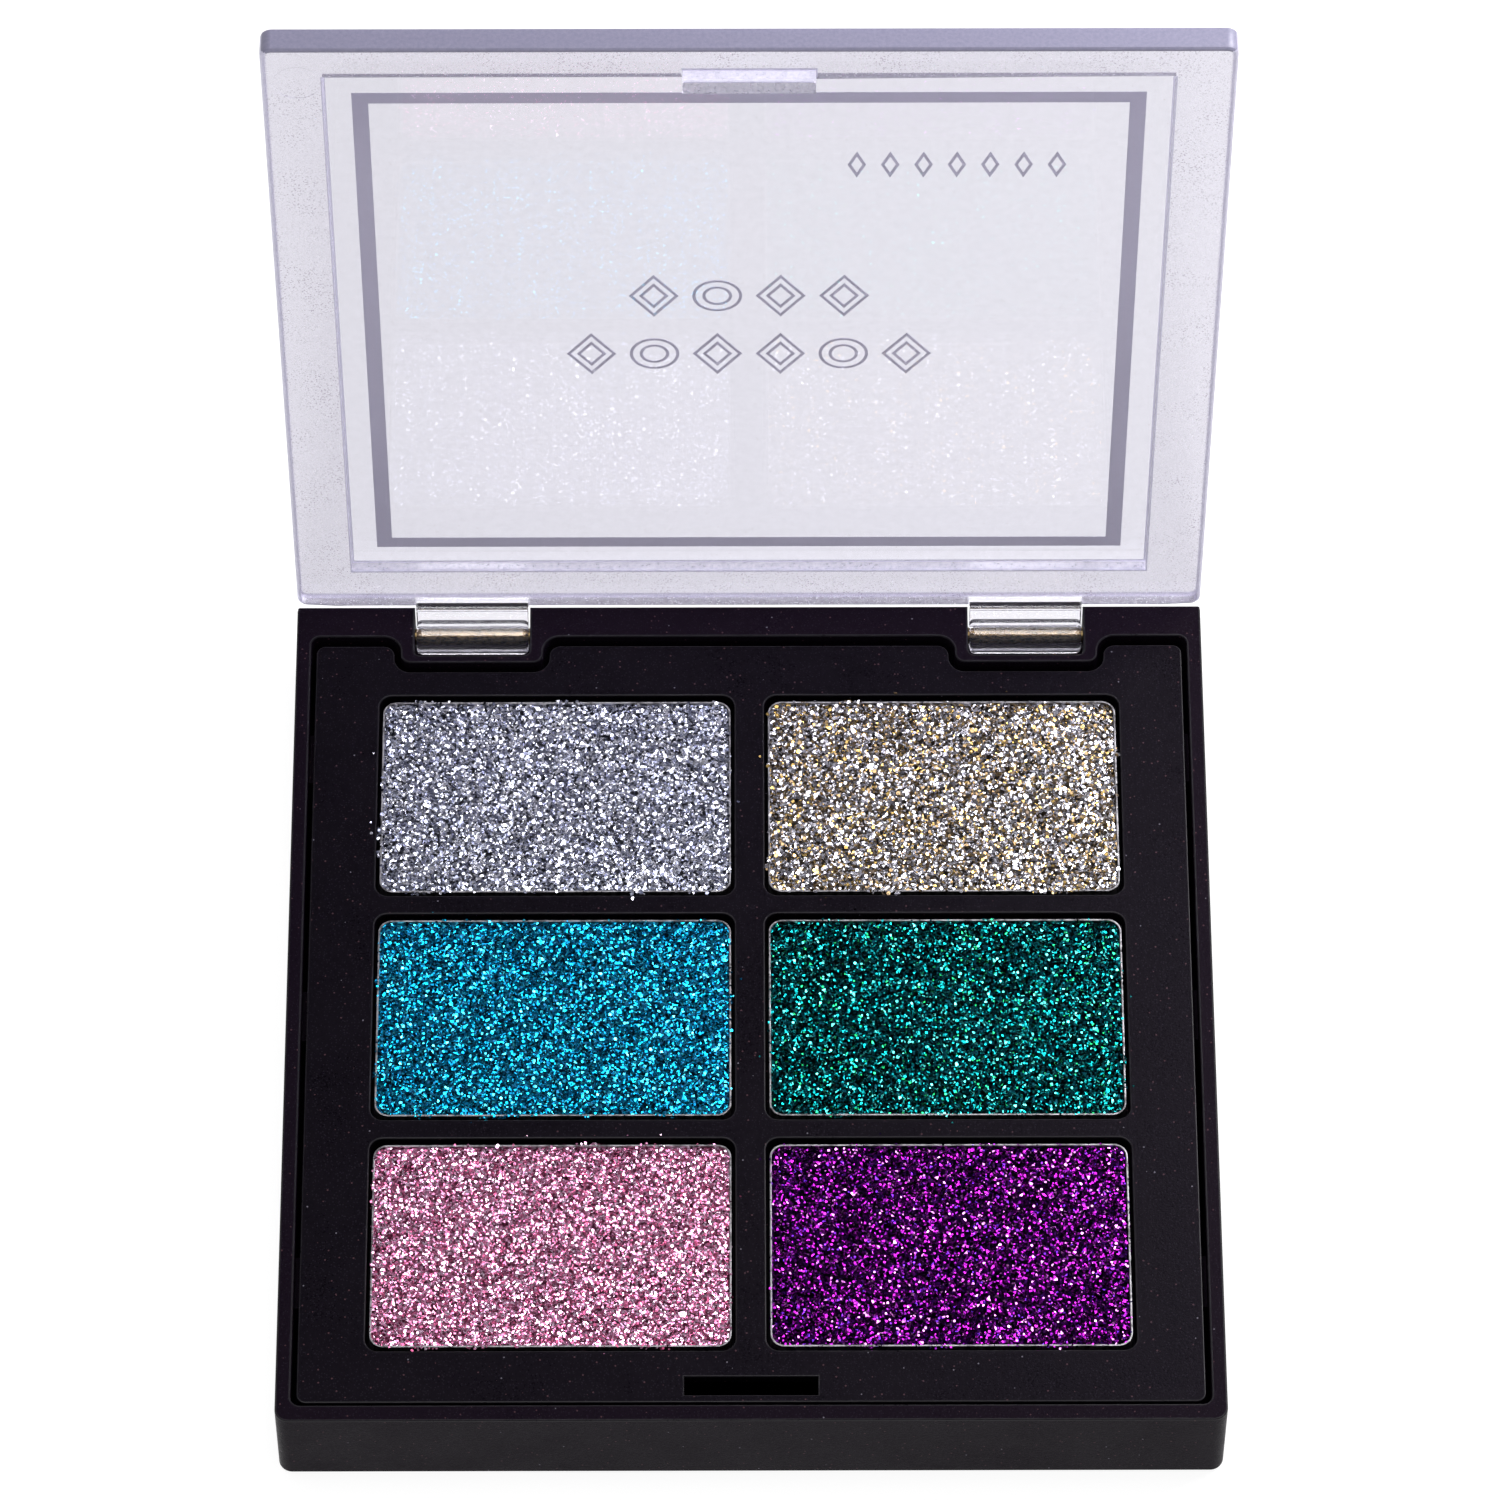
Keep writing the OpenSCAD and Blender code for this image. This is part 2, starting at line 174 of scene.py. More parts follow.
def moulded_black(name, tint, level, roughness, cast):
    """Satin black moulding with a fine tooth, cloudy handling marks and specks of dust."""
    look = Look(name, **{"Specular IOR Level": level, "Specular Tint": (*cast, 1)})
    brown = look.maths("LESS_THAN", look.cells(1.0 * MM), 0.10)
    pale = look.maths("LESS_THAN", look.cells(2.1 * MM), 0.04)
    grain = look.maths("LESS_THAN", look.cells(0.3 * MM), 0.24)
    body = look.mix(look.noise(0.3 * MM, 4, 0.7), [c * 0.5 for c in tint], [c * 1.6 for c in tint])
    grained = look.mix(look.maths("MULTIPLY", grain, 0.5), body, (0.018, 0.015, 0.022))
    dusted = look.mix(look.maths("MULTIPLY", brown, 0.5), grained, (0.10, 0.05, 0.06))
    look.drive("Base Color", look.mix(pale, dusted, (0.13, 0.12, 0.15)))
    tooth = look.noise(0.25 * MM, 4, 0.7)
    clouds = look.remap(look.noise(8 * MM, 5, 0.65), 0.35, 0.7, -0.06, 0.08)
    grit = look.remap(tooth, 0.3, 0.7, roughness - 0.09, roughness + 0.09)
    look.drive("Roughness", look.maths("ADD", grit, clouds))
    look.bump(tooth, 0.03 * MM)
    return look.material


def worn_edge(name, level):
    """The rounded edges of a black moulding, polished by handling."""
    look = Look(name, **{"Specular IOR Level": level})
    rub = look.noise(1.5 * MM, 5, 0.7)
    look.drive("Base Color", look.mix(rub, (0.006, 0.005, 0.007), (0.016, 0.014, 0.018)))
    look.drive("Roughness", look.remap(rub, 0.3, 0.7, 0.24, 0.42))
    return look.material


def lets_lamps_through(look, tint):
    """Lets lamp light pass straight through clear plastic, in place of casting a solid shadow."""
    clear = look.node("ShaderNodeBsdfTransparent", {"Color": (*tint, 1)})
    rays = look.node("ShaderNodeLightPath")
    both = look.node("ShaderNodeMixShader")
    look.link(rays.outputs["Is Shadow Ray"], both.inputs[0])
    look.link(look.shader.outputs[0], both.inputs[1])
    look.link(clear.outputs[0], both.inputs[2])
    look.link(both.outputs[0], look.output.inputs["Surface"])


def clear_panel():
    """Polished clear plastic with a faint lavender cast and a little dust."""
    look = Look("lid_clear", **{"IOR": 1.49, "Transmission Weight": 1.0, "Roughness": 0.0})
    cast = look.mix(look.noise(0.9 * MM, 5, 0.7), (0.63, 0.62, 0.68), (0.755, 0.745, 0.81))
    dust = look.maths("LESS_THAN", look.cells(1.3 * MM), 0.055)
    look.drive("Base Color", look.mix(dust, cast, (0.55, 0.50, 0.53)))
    lets_lamps_through(look, (0.80, 0.79, 0.85))
    return look.material


def frosted_border():
    """The same plastic with the fine spark-eroded texture of the border: pale, with small dark spots painted
    as the shade of its pits.
    """
    look = Look("lid_frosted", **{"IOR": 1.49, "Transmission Weight": 1.0})
    grain = look.noise(0.3 * MM, 3, 0.65)
    # Small dark spots: painted shade standing in for the pits of the texture.
    pit_shade = look.maths("LESS_THAN", look.cells(0.3 * MM), 0.3)
    patches = look.remap(look.noise(5 * MM, 3), 0.4, 0.62, 0.2, 1)
    pale = look.mix(grain, (0.505, 0.485, 0.555), (0.68, 0.66, 0.735))
    look.drive("Base Color", look.mix(look.maths("MULTIPLY", pit_shade, patches), pale, (0.29, 0.26, 0.32)))
    look.drive("Roughness", look.remap(grain, 0.3, 0.7, 0.12, 0.3))
    look.bump(grain, 0.014 * MM)
    lets_lamps_through(look, (0.80, 0.79, 0.85))
    return look.material


def hazy(name, transmission, roughness, dark, light):
    """The plastic where it is thick or rough enough to look cloudy."""
    look = Look(name, **{"IOR": 1.49, "Transmission Weight": transmission, "Roughness": roughness})
    cloud = look.remap(look.noise(0.4 * MM, 4, 0.7), 0.35, 0.65, 0, 1)
    look.drive("Base Color", look.mix(cloud, dark, light))
    look.bump(look.noise(0.3 * MM, 3, 0.6), 0.01 * MM)
    lets_lamps_through(look, (0.6, 0.58, 0.7))
    return look.material


def silver_ink():
    """Pearly grey print, mottled like a screen-printed metallic ink."""
    look = Look("silver_ink", **{"Metallic": 0.0, "Roughness": 0.7, "Specular IOR Level": 0.15})
    grain = look.noise(0.18 * MM, 3, 0.7)
    look.drive("Base Color", look.mix(grain, (0.53, 0.51, 0.60), (0.64, 0.62, 0.71)))
    look.bump(grain, 0.004 * MM)
    return look.material


def tinned_steel():
    """Thin drawn sheet, dull and soiled in places with crumbs of the cake."""
    look = Look("pan_steel", **{"Metallic": 1.0})
    stretch = look.node("ShaderNodeMapping", {"Vector": look.place, "Scale": (1, 1, 0.08)}).outputs[0]
    marks = look.noise(0.12 * MM, 4, 0.7, stretch)
    clean = look.mix(marks, (0.22, 0.21, 0.23), (0.46, 0.45, 0.47))
    soil = look.remap(look.noise(1.1 * MM, 4, 0.7), 0.46, 0.6, 0, 0.85)
    look.drive("Base Color", look.mix(soil, clean, (0.07, 0.065, 0.07)))
    look.drive("Roughness", look.remap(marks, 0.3, 0.7, 0.28, 0.5))
    look.bump(marks, 0.004 * MM)
    return look.material


def drawn_brass():
    """Brass wire, dark with age, with fine drawing lines along it."""
    look = Look("pin_brass", **{"Metallic": 1.0})
    stretch = look.node("ShaderNodeMapping", {"Vector": look.place, "Scale": (0.25, 1, 1)}).outputs[0]
    lines = look.noise(0.16 * MM, 5, 0.75, stretch)
    age = look.remap(lines, 0.4, 0.62, 0, 1)
    look.drive("Base Color", look.mix(age, (0.06, 0.04, 0.02), (0.36, 0.25, 0.11)))
    look.drive("Roughness", look.remap(lines, 0.3, 0.7, 0.2, 0.4))
    look.bump(lines, 0.012 * MM)
    return look.material


def dried_glue():
    """Cloudy yellowish hot glue with small bubbles."""
    look = Look("dried_glue", **{"Roughness": 0.4, "Subsurface Weight": 0.2})
    bubbles = look.cells(0.8 * MM)
    cloud = look.noise(3 * MM, 4)
    look.drive("Base Color", look.mix(cloud, (0.60, 0.54, 0.38), (0.76, 0.71, 0.56)))
    look.bump(bubbles, 0.05 * MM)
    return look.material


def glitter(name, stops, metallic, roughness):
    """Glitter whose flakes take their colour from their own tone value."""
    look = Look(name, **{"Metallic": metallic})
    tone = look.node("ShaderNodeAttribute", attribute_name="tone").outputs["Fac"]
    look.drive("Base Color", look.bands(tone, stops))
    look.drive("Roughness", look.remap(look.noise(0.3 * MM, 2), 0.3, 0.7, roughness - 0.05, roughness + 0.07))
    return look.material


def pale_floor():
    """Plain white sweep, evenly lit."""
    look = Look("pale_floor", **{"Roughness": 0.8, "Specular IOR Level": 0.1, "Emission Strength": 0.86})
    look.drive("Base Color", look.mix(look.noise(0.4, 2), (0.24, 0.24, 0.24), (0.26, 0.26, 0.26)))
    look.shader.inputs["Emission Color"].default_value = (1, 1, 1, 1)
    return look.material


# ---------------------------------------------------------------- shapes

def new_object(name, mesh, body):
    made = bpy.data.objects.new(name, mesh)
    bpy.context.scene.collection.objects.link(made)
    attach(made, body)
    return made


def in_planes(height_of, heights):
    """Tests whether an edge lies in one of the planes at these heights."""
    def test(edge):
        spans = [height_of(v.co) for v in edge.verts]
        return any(all(abs(s - h) < PLANE_SLACK for s in spans) for h in heights)
    return test


def softened(node, body, materials, rounds):
    """A copy of a CAD node that stands for it, with chosen sharp edges rounded.

    Each of the rounds is a width, a test that picks the edges, and the material number of the new faces,
    or -1 for the material beside them.
    """
    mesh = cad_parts[node].data.copy()
    mesh.name = node + "_soft"
    mesh.materials.clear()
    for material in materials:
        mesh.materials.append(material)
    work = bmesh.new()
    work.from_mesh(mesh)
    bmesh.ops.remove_doubles(work, verts=work.verts, dist=PLANE_SLACK)
    bmesh.ops.dissolve_limit(work, angle_limit=radians(1), verts=work.verts, edges=work.edges)
    for width, chosen, number in rounds:
        picked = [e for e in work.edges if e.is_manifold and e.calc_face_angle(0) > SHARP and chosen(e)]
        bmesh.ops.bevel(work, geom=picked, offset=width, segments=BEVEL_STEPS, profile=0.5,
                        affect="EDGES", clamp_overlap=False, miter_outer="SHARP",
                        harden_normals=False, material=number)
    work.to_mesh(mesh)
    work.free()
    if mesh.has_custom_normals:
        mesh.attributes.remove(mesh.attributes["custom_normal"])
    mesh.shade_smooth()
    made = new_object(node + "_moulded", mesh, body)
    mesh.set_sharp_from_angle(angle=SMOOTH_UNDER)
    even = made.modifiers.new("even_normals", "WEIGHTED_NORMAL")
    even.keep_sharp = True
    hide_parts(node)
    return made


def waves(x, y, rng, length, count=14):
    """A smooth random height field from about -1 to 1: plane waves of about one length, in all directions."""
    angle = rng.uniform(0, 2 * pi, count)
    pace = 2 * pi / (length * rng.uniform(0.7, 1.6, count))
    phase = rng.uniform(0, 2 * pi, count)
    total = np.zeros_like(x)
    for a, k, p in zip(angle, pace, phase):
        total += np.sin(k * (cos(a) * x + sin(a) * y) + p)
    return total / np.sqrt(count)


def set_tones(mesh, domain, tones):
    values = mesh.attributes.new("tone", "FLOAT", domain)
    values.data.foreach_set("value", np.asarray(tones, dtype=np.float32))


# ---------------------------------------------------------------- glitter

# For each colour: the number of loose flakes, their least and greatest width in millimetres, the skew towards
# the darker kinds in the bed, which paints shade into the gaps between the loose flakes, how metallic and how
# rough they are, and (share, colour) of each kind of flake, darkest first
GLITTER = {
    "silver": dict(count=9000, widths=(0.18, 0.50), bed_shade_skew=1.4, metallic=0.8, roughness=0.18, kinds=[
        (0.18, (0.018, 0.019, 0.028)), (0.20, (0.19, 0.20, 0.30)), (0.30, (0.41, 0.43, 0.54)),
        (0.3185, (0.80, 0.80, 0.88)), (0.0015, (0.75, 0.10, 0.06))]),
    "champagne": dict(count=9000, widths=(0.18, 0.50), bed_shade_skew=1.6, metallic=0.88, roughness=0.18, kinds=[
        (0.20, (0.028, 0.020, 0.014)), (0.16, (0.22, 0.15, 0.08)), (0.10, (0.66, 0.45, 0.15)),
        (0.28, (0.36, 0.35, 0.40)), (0.2585, (0.78, 0.77, 0.84)), (0.0015, (0.10, 0.55, 0.50))]),
    "turquoise": dict(count=13000, widths=(0.13, 0.36), bed_shade_skew=1.6, metallic=0.96, roughness=0.16, kinds=[
        (0.25, (0.001, 0.022, 0.050)), (0.30, (0.003, 0.18, 0.37)), (0.30, (0.006, 0.40, 0.68)),
        (0.15, (0.07, 0.70, 0.93))]),
    "emerald": dict(count=14000, widths=(0.13, 0.31), bed_shade_skew=2.1, metallic=1.0, roughness=0.14, kinds=[
        (0.44, (0.0004, 0.007, 0.010)), (0.22, (0.002, 0.10, 0.11)), (0.05, (0.01, 0.28, 0.09)),
        (0.19, (0.004, 0.28, 0.29)), (0.10, (0.09, 0.66, 0.61))]),
    "pink": dict(count=12000, widths=(0.15, 0.38), bed_shade_skew=1.2, metallic=0.82, roughness=0.18, kinds=[
        (0.25, (0.11, 0.012, 0.04)), (0.26, (0.55, 0.14, 0.28)), (0.29, (0.79, 0.34, 0.57)),
        (0.20, (0.94, 0.67, 0.86))]),
    "purple": dict(count=15000, widths=(0.13, 0.29), bed_shade_skew=2.0, metallic=1.0, roughness=0.15, kinds=[
        (0.44, (0.003, 0.0002, 0.007)), (0.18, (0.07, 0.004, 0.11)), (0.05, (0.10, 0.015, 0.34)),
        (0.26, (0.33, 0.012, 0.39)), (0.07, (0.78, 0.26, 0.78))]),
}
FLAKE_SIDES = 6
FLAKE_SKEW = 1.6
FLAKE_LIFT = 0.03 * MM
FLAKE_MARGIN = 0.1 * MM
BED_CELL = 0.26 * MM
BED_LUMP = 0.07 * MM
BED_JITTER = 0.045 * MM
EDGE_BAND = 0.8 * MM
EDGE_DROP = 0.16 * MM
FLAKE_TILT = 0.27
ON_RIM = 90
CLUMPS = 9
ON_TRAY = 5


def shade_stops(kinds):
    """The start of each kind's band in a 0 to 1 tone, with its colour."""
    starts = np.cumsum([0.0] + [share for share, _ in kinds])
    return [(float(start), colour) for start, (_, colour) in zip(starts, kinds)]


class CakeField:
    """The uneven top of one pressed cake, in a pan with rounded corners."""

    def __init__(self, colour, rng):
        self.low, self.high = (np.array(corner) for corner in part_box("cake_" + colour))
        self.rim_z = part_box("pan_" + colour)[1][2]
        self.middle = (self.low + self.high) / 2
        self.half = (self.high - self.low) / 2
        self.seed = int(rng.integers(1 << 30))

    def inset(self, x, y):
        """How far a point lies inside the cake's outline."""
        qx = abs(x - self.middle[0]) - self.half[0] + PAN_CORNER
        qy = abs(y - self.middle[1]) - self.half[1] + PAN_CORNER
        past = np.hypot(np.maximum(qx, 0), np.maximum(qy, 0))
        return PAN_CORNER - past - np.minimum(np.maximum(qx, qy), 0)

    def height(self, x, y):
        rng = np.random.default_rng(self.seed)
        broad = waves(x, y, rng, 7 * MM) * 0.5 + waves(x, y, rng, 1.8 * MM) * 0.5
        ragged = self.inset(x, y) + waves(x, y, rng, 1.2 * MM) * 0.25 * MM
        fall = np.clip(1 - ragged / EDGE_BAND, 0, 1) ** 2
        return self.high[2] + broad * BED_LUMP - fall * EDGE_DROP

    def rounded(self, x, y, margin):
        """Turns each square corner of a grid into a quarter circle, and leaves the rest where it is."""
        corner = self.half[:2] - margin - PAN_CORNER
        dx = np.clip(abs(x - self.middle[0]) - corner[0], 0, PAN_CORNER)
        dy = np.clip(abs(y - self.middle[1]) - corner[1], 0, PAN_CORNER)
        cut_x = dx * (1 - np.sqrt(1 - (dy / PAN_CORNER) ** 2 / 2))
        cut_y = dy * (1 - np.sqrt(1 - (dx / PAN_CORNER) ** 2 / 2))
        return x - np.sign(x - self.middle[0]) * cut_x, y - np.sign(y - self.middle[1]) * cut_y


def cake_bed(colour, field, rng, material, shade_skew):
    """The pressed cake: a closed block whose top is a crust of small tilted facets, toned dark as painted
    shade.
    """
    nx, ny = (int(round(2 * h / BED_CELL)) for h in field.half[:2])
    u, v = np.meshgrid(np.linspace(-1, 1, nx + 1), np.linspace(-1, 1, ny + 1), indexing="ij")
    inner = np.zeros_like(u)
    inner[1:-1, 1:-1] = 1
    step = field.half[:2] * 2 / (nx, ny)
    x = field.middle[0] + u * field.half[0] + rng.uniform(-0.35, 0.35, u.shape) * step[0] * inner
    y = field.middle[1] + v * field.half[1] + rng.uniform(-0.35, 0.35, u.shape) * step[1] * inner
    x, y = field.rounded(x, y, 0)
    z = field.height(x, y) + rng.normal(0, 1, u.shape) * BED_JITTER * inner
    top = np.stack([x, y, z], -1).reshape(-1, 3)
    index = np.arange((nx + 1) * (ny + 1)).reshape(nx + 1, ny + 1)
    faces = []
    a, b, c, d = index[:-1, :-1], index[1:, :-1], index[1:, 1:], index[:-1, 1:]
    flip = rng.random(a.shape) < 0.5
    for p, q, r, s, k in zip(a.flat, b.flat, c.flat, d.flat, flip.flat):
        faces += [(p, q, s), (q, r, s)] if k else [(p, q, r), (p, r, s)]
    rim = np.concatenate([index[:, 0], index[-1, 1:], index[-2::-1, -1], index[0, -2:0:-1]])
    base = top[rim].copy()
    base[:, 2] = field.low[2]
    first = len(top)
    n = len(rim)
    for k in range(n):
        after = (k + 1) % n
        faces.append((rim[k], first + k, first + after, rim[after]))
    faces.append(tuple(first + k for k in reversed(range(n))))
    mesh = bpy.data.meshes.new("bed_" + colour)
    mesh.from_pydata(np.concatenate([top, base]).tolist(), [], [tuple(int(i) for i in f) for f in faces])
    mesh.materials.append(material)
    # The tones lean towards the darker kinds: painted shade for the gaps between the loose flakes.
    set_tones(mesh, "FACE", rng.random(len(mesh.polygons)) ** shade_skew)
    made = new_object("pressed_" + colour, mesh, "base")
    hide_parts("cake_" + colour)
    return made


def flake_mesh(name, centres, normals, widths, tones, rng):
    """Six-sided flakes: a flat face that tapers to a point under it, so that each is a closed solid."""
    sides = FLAKE_SIDES
    n = len(centres)
    helper = rng.normal(size=(n, 3))
    across = np.cross(normals, helper)
    across /= np.linalg.norm(across, axis=1)[:, None]
    along = np.cross(normals, across)
    turn = np.arange(sides) * 2 * pi / sides
    along *= rng.uniform(0.85, 1.0, n)[:, None]
    ring = np.cos(turn)[None, :, None] * across[:, None] + np.sin(turn)[None, :, None] * along[:, None]
    ring = centres[:, None] + ring * (widths / 2)[:, None, None]
    point = centres - normals * (widths * 0.3)[:, None]
    points = np.concatenate([ring, point[:, None]], axis=1).reshape(-1, 3)
    pattern = [tuple(range(sides))] + [(sides, (k + 1) % sides, k) for k in range(sides)]
    starts = range(0, n * (sides + 1), sides + 1)
    faces = [tuple(start + i for i in face) for start in starts for face in pattern]
    mesh = bpy.data.meshes.new(name)
    mesh.from_pydata(points.tolist(), [], faces)
    set_tones(mesh, "POINT", np.repeat(tones, sides + 1))
    return mesh


def tilted(n, spread, rng):
    """Unit normals that lean away from straight up by about spread, in radians."""
    lean = rng.normal(0, spread, (n, 2))
    normals = np.column_stack([lean, np.ones(n)])
    return normals / np.linalg.norm(normals, axis=1)[:, None]


def beside_pan(field, side, along, out):
    """Points out metres beyond a side of the cake. Sides 0 to 3 are the rear, front, right and left."""
    sign = np.where(side % 2 == 0, 1, -1)
    lengthways = side < 2
    reach = np.where(lengthways, field.half[1], field.half[0]) + out
    span = np.where(lengthways, field.half[0], field.half[1]) - PAN_CORNER
    x = field.middle[0] + np.where(lengthways, along * span, sign * reach)
    y = field.middle[1] + np.where(lengthways, sign * reach, along * span)
    return x, y


def strays(field, rng):
    """Places of the flakes caught on the pan's edge and in clumps beside it, and of the few on the tray."""
    side = rng.integers(0, 4, ON_RIM)
    along = rng.uniform(-1, 1, ON_RIM)
    out = rng.uniform(-0.5, 1.2, ON_RIM) * PAN_T
    for _ in range(CLUMPS):
        n = int(rng.integers(4, 16))
        side = np.append(side, np.full(n, 1 if rng.random() < 0.5 else rng.integers(0, 4)))
        along = np.append(along, np.clip(rng.uniform(-0.95, 0.95) + rng.normal(0, 0.035, n), -1, 1))
        out = np.append(out, rng.uniform(0.1, 0.35) * MM + rng.normal(0, 0.1 * MM, n))
    z = np.where(out < 1.2 * PAN_T, field.rim_z + 0.02 * MM, field.rim_z - 0.06 * MM)
    side = np.append(side, rng.integers(0, 4, ON_TRAY))
    along = np.append(along, rng.uniform(-1, 1, ON_TRAY))
    out = np.append(out, rng.uniform(0.95, 1.3, ON_TRAY) * MM)
    z = np.append(z, np.full(ON_TRAY, TRAY_HIGH[2] + 0.02 * MM))
    return np.column_stack([*beside_pan(field, side, along, out), z])


def loose_flakes(colour, field, rng, material, recipe):
    """The flakes that lie on the cake, and the few that strayed."""
    n = recipe["count"]
    x = field.middle[0] + rng.uniform(-1, 1, n) * (field.half[0] - FLAKE_MARGIN)
    y = field.middle[1] + rng.uniform(-1, 1, n) * (field.half[1] - FLAKE_MARGIN)
    x, y = field.rounded(x, y, FLAKE_MARGIN)
    spilt = strays(field, rng)
    least, most = (w * MM for w in recipe["widths"])
    widths = least + (most - least) * rng.random(n + len(spilt)) ** FLAKE_SKEW
    z = field.height(x, y) + widths[:n] * rng.uniform(0.0, 0.22, n) + FLAKE_LIFT
    centres = np.concatenate([np.column_stack([x, y, z]), spilt])
    normals = tilted(len(centres), FLAKE_TILT, rng)
    mesh = flake_mesh("flakes_" + colour, centres, normals, widths, rng.random(len(centres)), rng)
    mesh.materials.append(material)
    return new_object("flakes_" + colour, mesh, "base")


def fill_pan(colour, seed):
    rng = np.random.default_rng(seed)
    recipe = GLITTER[colour]
    look = glitter("glitter_" + colour, shade_stops(recipe["kinds"]), recipe["metallic"], recipe["roughness"])
    field = CakeField(colour, rng)
    cake_bed(colour, field, rng, look, recipe["bed_shade_skew"])
    loose_flakes(colour, field, rng, look, recipe)


# ---------------------------------------------------------------- assembly

def base_pieces():
    edge = worn_edge("black_edge", 0.15)
    rim = in_planes(lambda p: p.z, [CASE_HIGH[2], CASE_LOW[2]])
    case_black = moulded_black("case_black", (0.0050, 0.0028, 0.0062), 0.03, 0.35, (1.0, 0.85, 0.97))
    case = softened("base_case", "base", [case_black, edge], [(RIM_ROUND, rim, 1)])
    for vertex in case.data.vertices:
        if vertex.co.z > CASE_HIGH[2] - PLANE_SLACK:
            vertex.co.z -= RIM_GAP
    top = in_planes(lambda p: p.z, [TRAY_HIGH[2]])
    tray_black = moulded_black("tray_black", (0.0022, 0.0016, 0.0030), 0.056, 0.35, (0.90, 0.78, 1.0))
    softened("insert_tray", "base", [tray_black, edge], [(TRAY_ROUND, top, 1)])
    steel = tinned_steel()
    for colour in COLOURS:
        lip = in_planes(lambda p: p.z, [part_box("pan_" + colour)[1][2]])
        softened("pan_" + colour, "base", [steel], [(PAN_ROUND, lip, -1)])
    for number, colour in enumerate(COLOURS):
        fill_pan(colour, 100 + number)
    brass = drawn_brass()
    for side in ("left", "right"):
        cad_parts["hinge_pin_" + side].data.materials[0] = brass
    glue = dried_glue()
    for colour in COLOURS:
        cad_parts["glue_" + colour].data.materials[0] = glue


class LidPlaces:
    """Distances measured along the open lid's own directions."""

    def __init__(self):
        self.outward = Vector((0, cos(LID_LEAN), -sin(LID_LEAN)))
        self.up = Vector((0, sin(LID_LEAN), cos(LID_LEAN)))
        points = [v.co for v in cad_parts["lid_shell"].data.vertices]
        self.outer = max(p @ self.outward for p in points)
        self.top = max(p @ self.up for p in points)

    def sunk(self, p):
        """Distance under the outer face."""
        return self.outer - p @ self.outward

    def down(self, p):
        """Distance from the latch edge."""
        return self.top - p @ self.up

    def tall(self, edge):
        """Whether the walls beside an edge are high enough to round it."""
        walls = [f for f in edge.link_faces if abs(f.normal @ self.outward) < UPRIGHT]
        spans = [[self.sunk(v.co) for v in f.verts] for f in walls]
        return all(max(span) - min(span) > 2 * LID_ROUND for span in spans)

    def to_outline(self, p):
        """Distance from the nearest of the two side edges and the latch edge."""
        return min(LID_HIGH[0] - abs(p.x), self.down(p))

    def zone(self, face):
        """Material number of a face: 0 clear, 1 frosted, 2 latch edge, 3 wall, 4 knuckle, 5 bead."""
        spot = face.center
        slope = abs(face.normal @ self.outward)
        flat = slope > FLAT
        sunk = self.sunk(spot)
        past_plate = sunk > LID_T + PLANE_SLACK
        if self.down(spot) > LID_LEN + PLANE_SLACK or (past_plate and abs(spot.x) > KNUCKLE_X):
            return 4
        if flat and sunk < LID_T - 5 * PLANE_SLACK:
            return 0
        if flat:
            return 3 if past_plate else 1
        if self.down(spot) < EDGE_WIDTH:
            return 2
        return 5 if slope > SLANTED or self.to_outline(spot) < EDGE_WIDTH else 3


def lid_pieces():
    lid_at = LidPlaces()
    faces = in_planes(lid_at.sunk, [0, LID_T, LID_T - POCKET_DEPTH])

    def outline(edge):
        reach = max(lid_at.to_outline(v.co) for v in edge.verts)
        return faces(edge) and reach < LID_CORNER + PLANE_SLACK

    def inside(edge):
        return faces(edge) and not outline(edge) and lid_at.tall(edge)

    edge = hazy("lid_edge", 0.12, 0.45, (0.175, 0.168, 0.25), (0.22, 0.21, 0.30))
    wall = hazy("lid_wall", 0.7, 0.25, (0.66, 0.65, 0.73), (0.95, 0.94, 0.98))
    bead = hazy("lid_bead", 0.45, 0.35, (0.48, 0.46, 0.60), (0.60, 0.58, 0.71))
    knuckle = hazy("lid_knuckle", 0.98, 0.03, (0.82, 0.81, 0.86), (0.88, 0.87, 0.92))
    looks = [clear_panel(), frosted_border(), edge, wall, knuckle, bead]
    rounds = [(OUTLINE_ROUND, outline, -1), (LID_ROUND, inside, -1)]
    lid = softened("lid_shell", "lid", looks, rounds)
    for face in lid.data.polygons:
        face.material_index = lid_at.zone(face)
    for vertex in lid.data.vertices:
        if abs(lid_at.sunk(vertex.co)) < PLANE_SLACK:
            vertex.co += INK_BOND * lid_at.outward
    ink = silver_ink()
    for node in ("printed_frame", "printed_ornament"):
        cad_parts[node].data.materials[0] = ink


def floor():
    bpy.ops.mesh.primitive_plane_add(size=6)
    made = bpy.context.object
    made.name = "floor"
    made.data.materials.append(pale_floor())


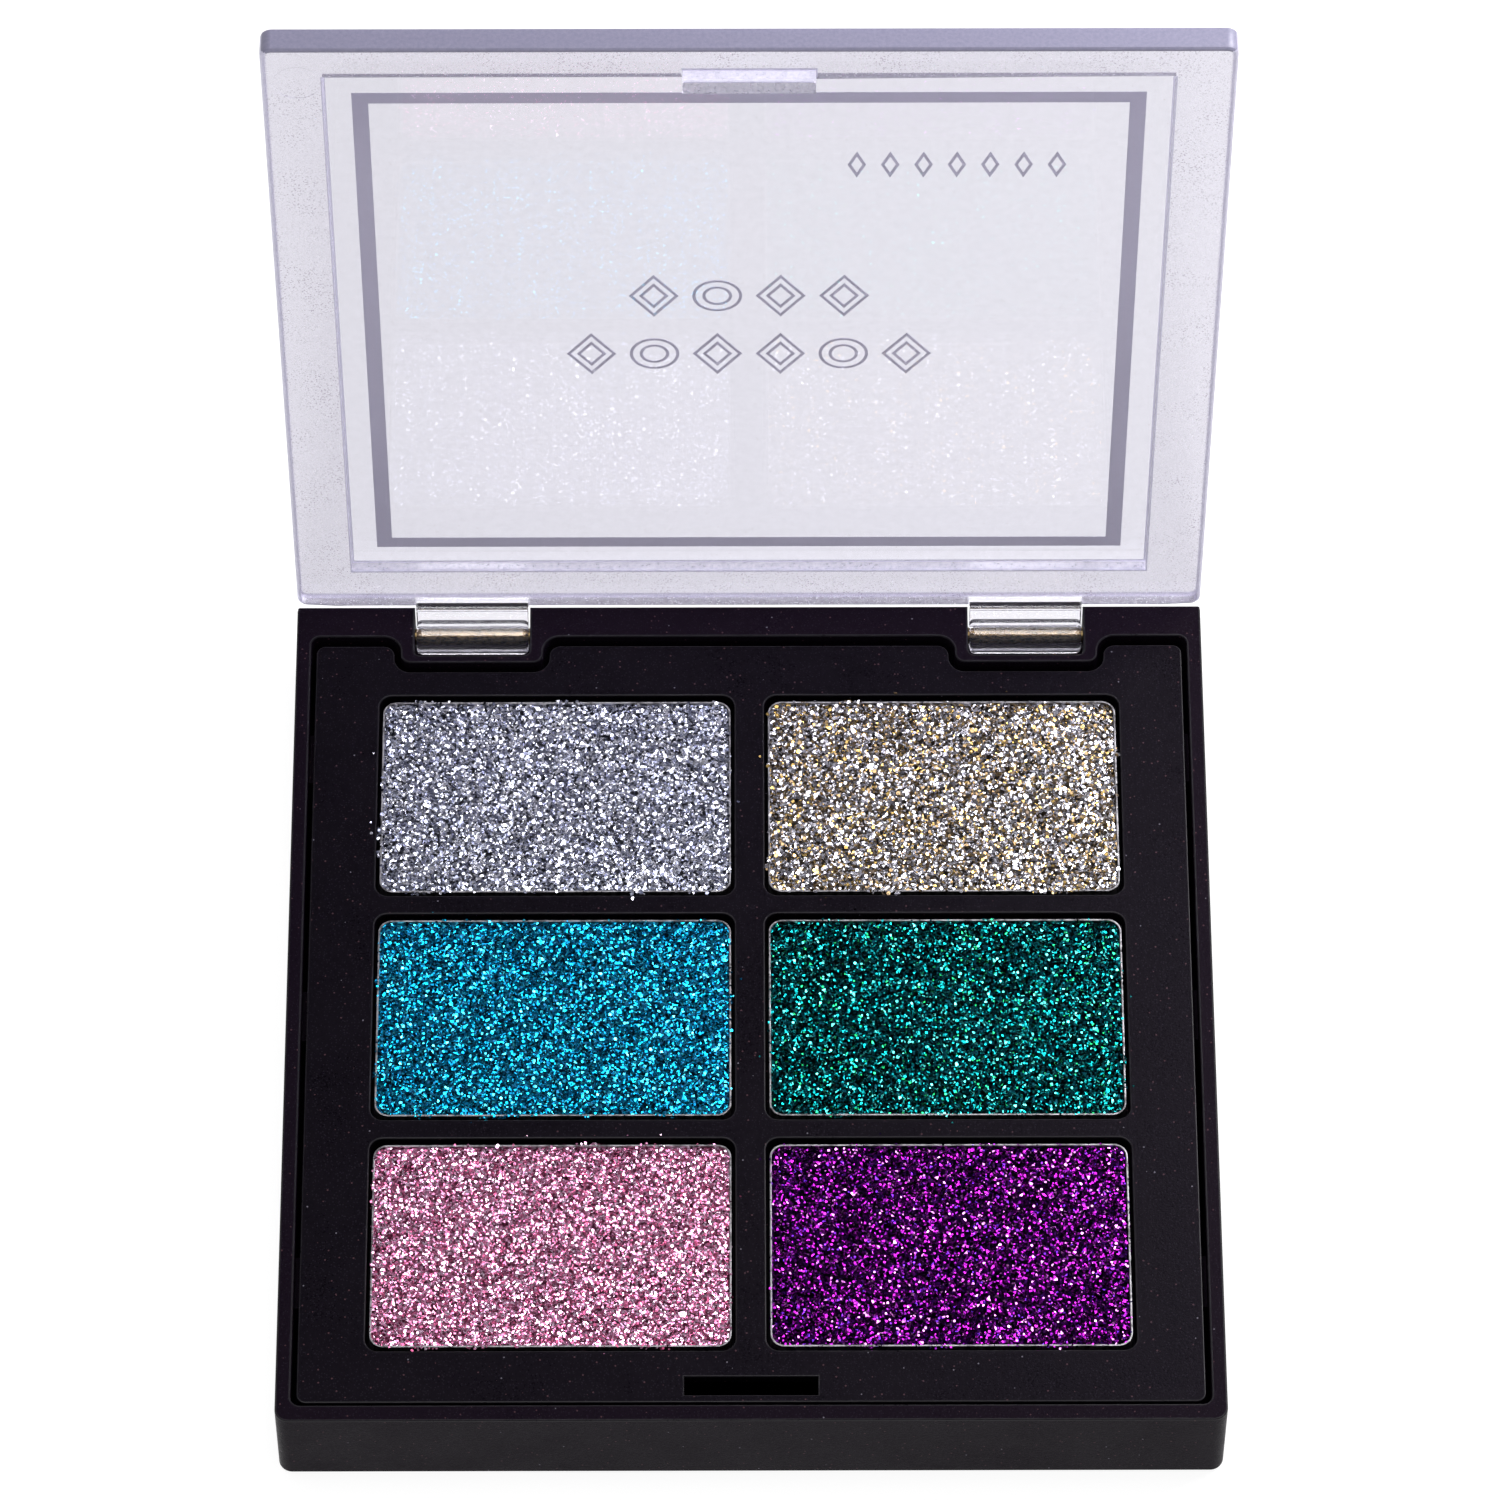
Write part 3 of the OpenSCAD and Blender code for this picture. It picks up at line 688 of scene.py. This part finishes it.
def softbox(name, at, aim, size, watts):
    light = bpy.data.lights.new(name, "AREA")
    light.shape = "RECTANGLE"
    light.size, light.size_y = size
    light.energy = watts
    made = bpy.data.objects.new(name, light)
    made.location = at
    made.rotation_euler = (Vector(aim) - Vector(at)).to_track_quat("-Z", "Y").to_euler()
    made.visible_camera = False
    bpy.context.scene.collection.objects.link(made)


def studio():
    """Soft light from above and from the right."""
    softbox("overhead", (-0.08, -0.05, 0.95), (0, 0, 0), (0.6, 0.4), 5)
    softbox("right", (0.55, 0.35, 0.65), (0, 0, 0), (0.3, 0.4), 2.5)
    softbox("near_right", (0.16, 0.14, 0.24), (0.06, 0, 0), (0.10, 0.16), 0.75)
    room()


def room():
    """The world: pale at the horizon and dim overhead."""
    world = bpy.data.worlds.new("room")
    bpy.context.scene.world = world
    world.use_nodes = True
    tree = world.node_tree
    place = tree.nodes.new("ShaderNodeTexCoord")
    split = tree.nodes.new("ShaderNodeSeparateXYZ")
    ramp = tree.nodes.new("ShaderNodeValToRGB")
    ramp.color_ramp.elements[0].position = 0.05
    ramp.color_ramp.elements[0].color = (0.8, 0.8, 0.8, 1)
    ramp.color_ramp.elements[1].position = 0.6
    ramp.color_ramp.elements[1].color = (0.05, 0.05, 0.055, 1)
    tree.links.new(place.outputs["Generated"], split.inputs[0])
    tree.links.new(split.outputs["Z"], ramp.inputs["Fac"])
    tree.links.new(ramp.outputs["Color"], tree.nodes["Background"].inputs["Color"])


def camera():
    data = bpy.data.cameras.new("camera")
    data.lens = LENS_MM
    data.sensor_width = 36
    made = bpy.data.objects.new("camera", data)
    turn = Matrix.Rotation(CAMERA_YAW, 4, "Z") @ Matrix.Rotation(pi / 2 - CAMERA_PITCH, 4, "X")
    made.matrix_world = Matrix.Translation(CAMERA_AT) @ turn @ Matrix.Rotation(CAMERA_ROLL, 4, "Z")
    bpy.context.scene.collection.objects.link(made)
    bpy.context.scene.camera = made


def picture():
    scene = bpy.context.scene
    scene.view_settings.view_transform = "Standard"
    scene.cycles.max_bounces = 24
    scene.cycles.transmission_bounces = 24
    scene.cycles.glossy_bounces = 8
    scene.cycles.transparent_max_bounces = 16


camera()
base_pieces()
lid_pieces()
floor()
studio()
picture()
